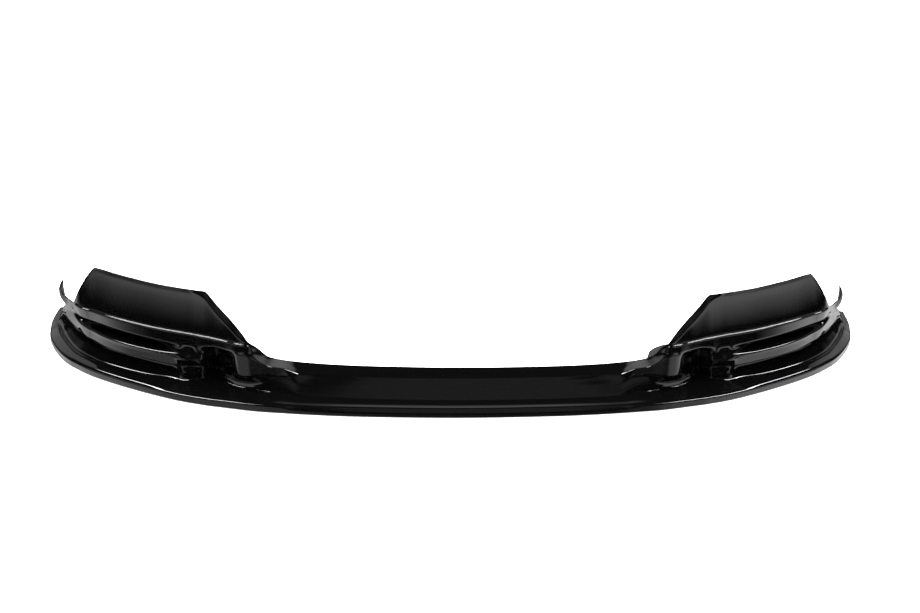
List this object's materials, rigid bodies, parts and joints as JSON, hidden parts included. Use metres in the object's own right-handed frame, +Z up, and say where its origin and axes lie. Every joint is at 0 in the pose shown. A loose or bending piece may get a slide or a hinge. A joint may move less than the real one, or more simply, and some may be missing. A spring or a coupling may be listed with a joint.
{
  "type": "front splitter lip",
  "caption": "Gloss black front splitter lip for a saloon car: a bowed blade with double side scoops, raised corner panels, small upturned winglets at its ends and a flat ear behind one panel.",
  "frame": {"origin": "middle of the lip's bounding box, in the plane of its underside", "axes": "+X along the lip's width, +Y from the blade's front edge towards the car's rear, +Z up"},
  "size_m": [1.678, 0.419, 0.188],
  "materials": {
    "splitter_lip": "gloss"
  },
  "bodies": {
    "root": {"splitter_lip": "splitter_lip"}
  },
  "joints": []
}
